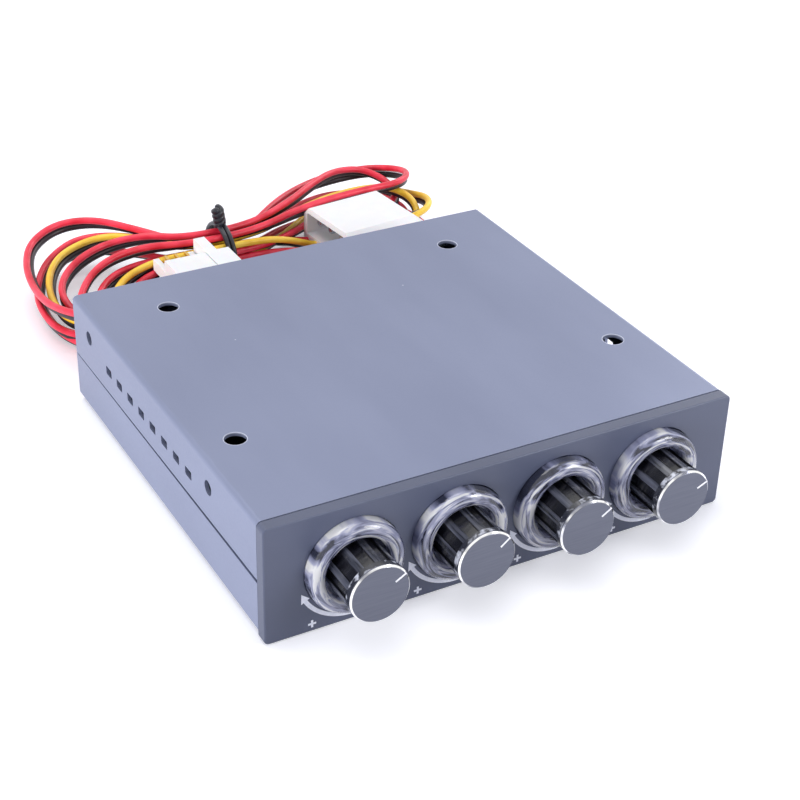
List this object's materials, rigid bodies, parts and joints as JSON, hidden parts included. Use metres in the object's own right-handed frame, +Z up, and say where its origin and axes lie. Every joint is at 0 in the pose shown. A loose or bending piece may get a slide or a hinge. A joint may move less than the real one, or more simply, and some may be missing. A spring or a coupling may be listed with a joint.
{
  "type": "fan speed controller for a drive bay",
  "caption": "Bay-mounted fan speed controller: dark panel with lit rotary knobs, a folded steel case and a tied hank of leads with white plugs",
  "frame": {"origin": "centre of the unit's base, midway between the knob faces and the rearmost point of the case, on the floor it lies on; leads left out", "axes": "+X to the right seen from the front, +Y from the knobs to the back, +Z up"},
  "size_m": [0.1128, 0.1766, 0.0254],
  "materials": {
    "panel": "fine satin, dark slate",
    "print": "pale grey print",
    "case": "smooth satin blue-grey paint on folded steel",
    "screw": "black oxide",
    "board": "green solder mask on glass fibre",
    "brass": "turned",
    "nickel": "nickel plated",
    "shaft": "turned",
    "led": "clear blue resin",
    "heat_sink": "extruded, natural",
    "epoxy": "moulded black",
    "capacitor": "dark blue sleeve",
    "resistor": "tan lacquer",
    "nylon": "natural white nylon",
    "rubber": "black",
    "red_wire": "red wire insulation",
    "yellow_wire": "yellow wire insulation",
    "gold": "gold plated",
    "tie": "plastic coated wire",
    "acrylic": "clear polished acrylic",
    "knob": "gloss black",
    "cap": "grey anodised face, bright bevel"
  },
  "bodies": {
    "root": {"bezel_screws": "screw", "board_screws": "screw", "bottom_tray": "case", "bundle_tie": "tie", "cable_grommet": "rubber", "capacitors": "capacitor", "circuit_board": "board", "control_chip": "epoxy", "cover_screws": "screw", "fan_lead_1": "red_wire", "fan_lead_2": "red_wire", "fan_lead_3": "red_wire", "fan_lead_4": "red_wire", "fan_plug_1": "nylon", "fan_plug_2": "nylon", "fan_plug_3": "nylon", "fan_plug_4": "nylon", "front_bezel": "panel", "heat_sink": "heat_sink", "lead_hank": "red_wire", "leds": "led", "light_ring_1": "acrylic", "light_ring_2": "acrylic", "light_ring_3": "acrylic", "light_ring_4": "acrylic", "panel_marks": "print", "plug_pins": "gold", "pot_bushing_1": "nickel", "pot_bushing_2": "nickel", "pot_bushing_3": "nickel", "pot_bushing_4": "nickel", "pot_case_1": "epoxy", "pot_case_2": "epoxy", "pot_case_3": "epoxy", "pot_case_4": "epoxy", "pot_nuts": "nickel", "pot_washers": "nickel", "power_lead": "yellow_wire", "power_pins": "nickel", "power_plug": "nylon", "resistors": "resistor", "standoffs": "brass", "terminal_strip": "nylon", "top_cover": "case", "transistor_screws": "screw", "transistors": "epoxy"},
    "dial_1": {"knob_1": "knob", "knob_cap_1": "cap", "pot_shaft_1": "shaft"},
    "dial_2": {"knob_2": "knob", "knob_cap_2": "cap", "pot_shaft_2": "shaft"},
    "dial_3": {"knob_3": "knob", "knob_cap_3": "cap", "pot_shaft_3": "shaft"},
    "dial_4": {"knob_4": "knob", "knob_cap_4": "cap", "pot_shaft_4": "shaft"}
  },
  "joints": [
    {"name": "dial_1_turn", "type": "hinge", "parent": "root", "child": "dial_1", "pos_m": [-0.033, -0.0435, 0.0127], "axis": [0, 1, 0], "range_deg": [-209, 91]},
    {"name": "dial_2_turn", "type": "hinge", "parent": "root", "child": "dial_2", "pos_m": [-0.011, -0.0435, 0.0127], "axis": [0, 1, 0], "range_deg": [-201, 99]},
    {"name": "dial_3_turn", "type": "hinge", "parent": "root", "child": "dial_3", "pos_m": [0.011, -0.0435, 0.0127], "axis": [0, 1, 0], "range_deg": [-207, 93]},
    {"name": "dial_4_turn", "type": "hinge", "parent": "root", "child": "dial_4", "pos_m": [0.033, -0.0435, 0.0127], "axis": [0, 1, 0], "range_deg": [-215, 85]}
  ]
}
